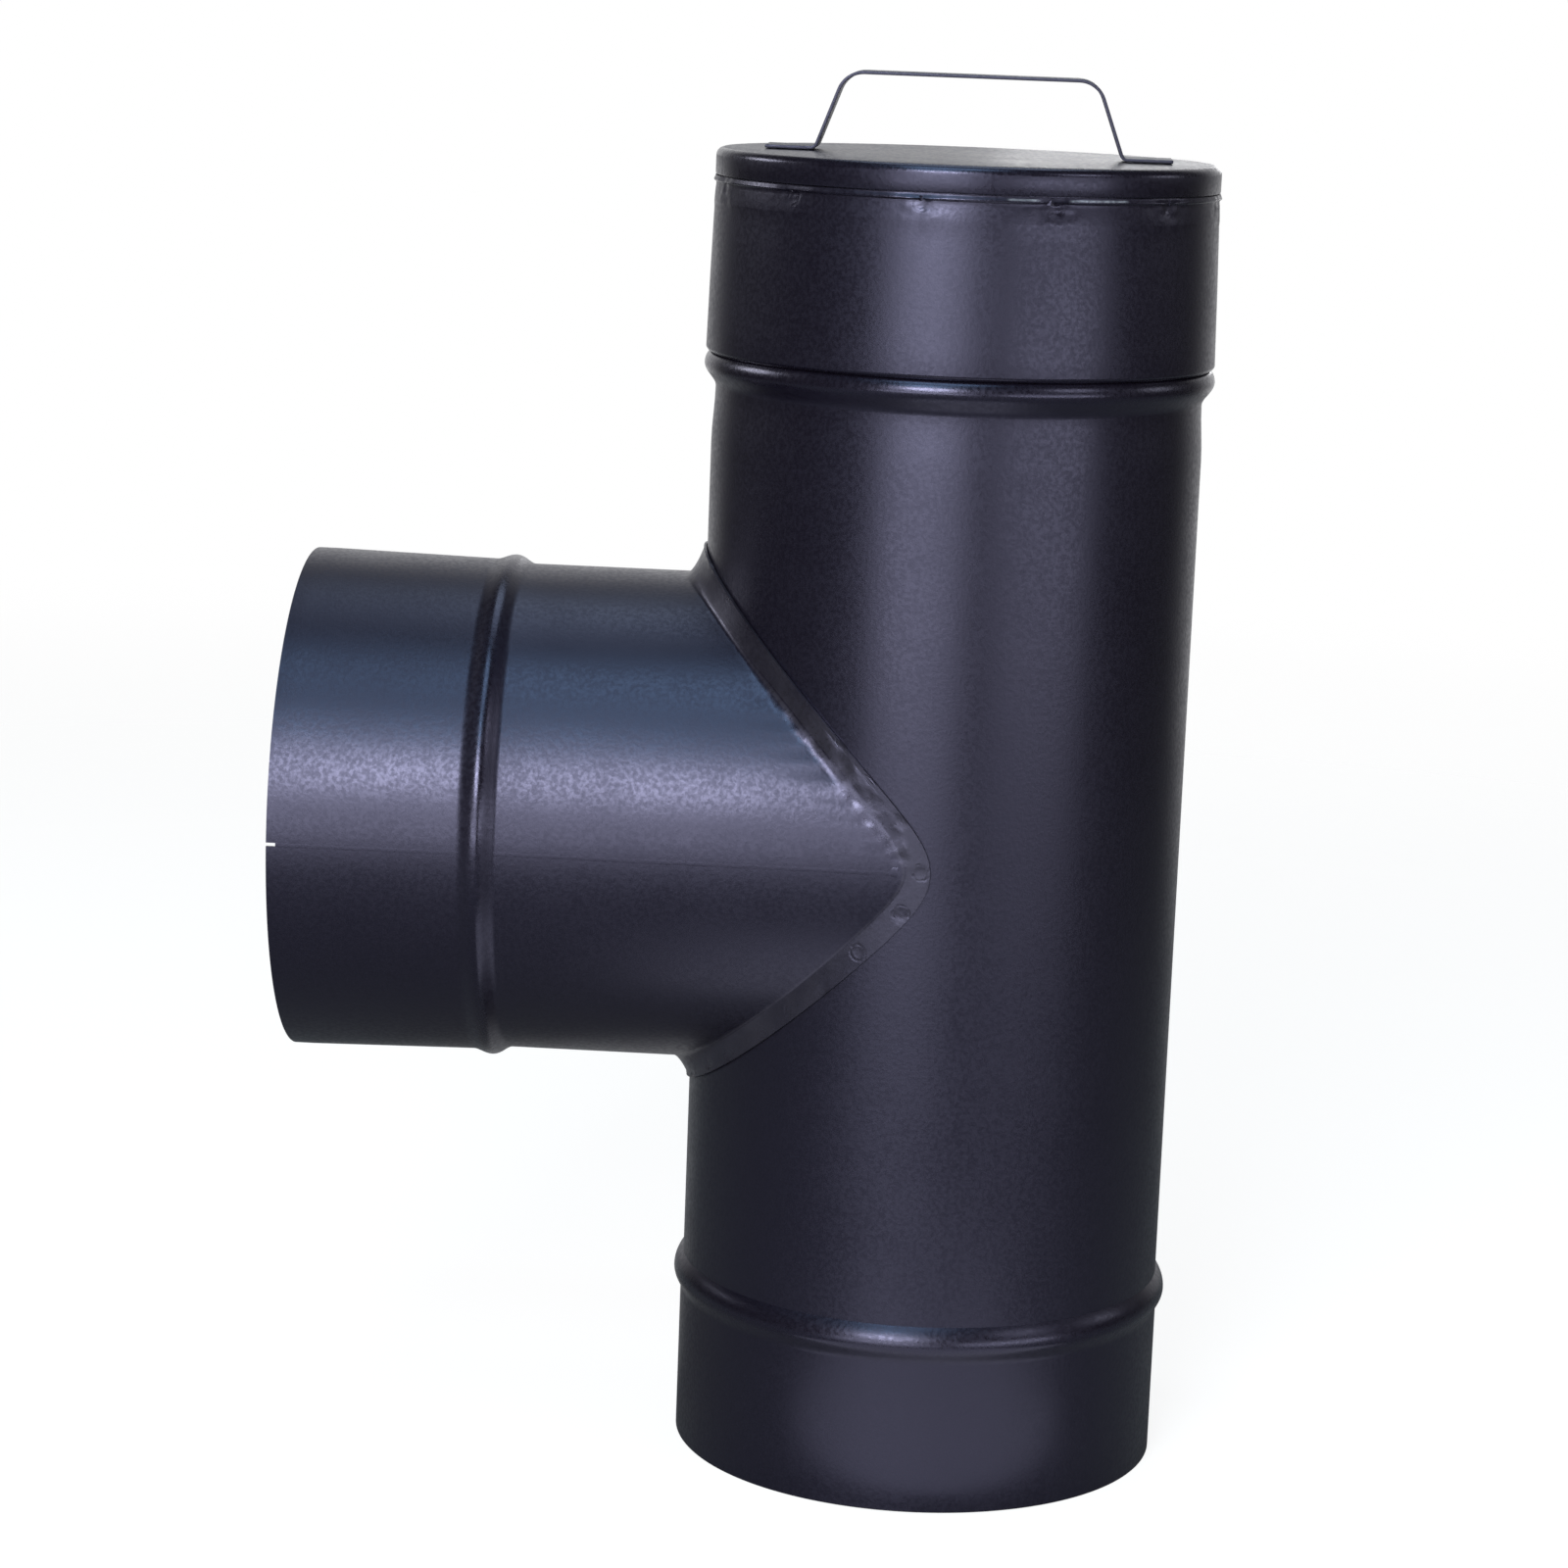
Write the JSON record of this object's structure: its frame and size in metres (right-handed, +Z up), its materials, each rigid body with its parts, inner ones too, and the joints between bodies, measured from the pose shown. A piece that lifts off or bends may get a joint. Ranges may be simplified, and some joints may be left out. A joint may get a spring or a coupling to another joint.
{
  "type": "stove pipe tee",
  "caption": "Round sheet steel flue tee with a saddle-mounted side branch, rolled beads and a lift-off cap with a strap handle on the upper end.",
  "frame": {"origin": "on the floor under the tee, midway between the branch mouth and the far side of the pipe", "axes": "+Z up along the main pipe towards the cap, -X out of the branch mouth, the strap handle runs along X"},
  "size_m": [0.2752, 0.1566, 0.4285],
  "materials": {
    "pipe_paint": "semi-gloss heat resistant paint with a fine grain",
    "branch_paint": "semi-gloss heat resistant paint with a fine grain",
    "cap_paint": "semi-gloss heat resistant paint with a fine grain",
    "strap_paint": "thin dark paint on a bent steel strap"
  },
  "bodies": {
    "tee": {"main_pipe": "pipe_paint", "branch_pipe": "branch_paint"},
    "cap": {"cap_skirt": "cap_paint", "cap_disc": "cap_paint", "cap_handle": "strap_paint"}
  },
  "joints": [
    {"name": "cap_pull", "type": "slide", "parent": "tee", "child": "cap", "axis": [0, 0, 1], "range_m": [0, 0.06]}
  ]
}
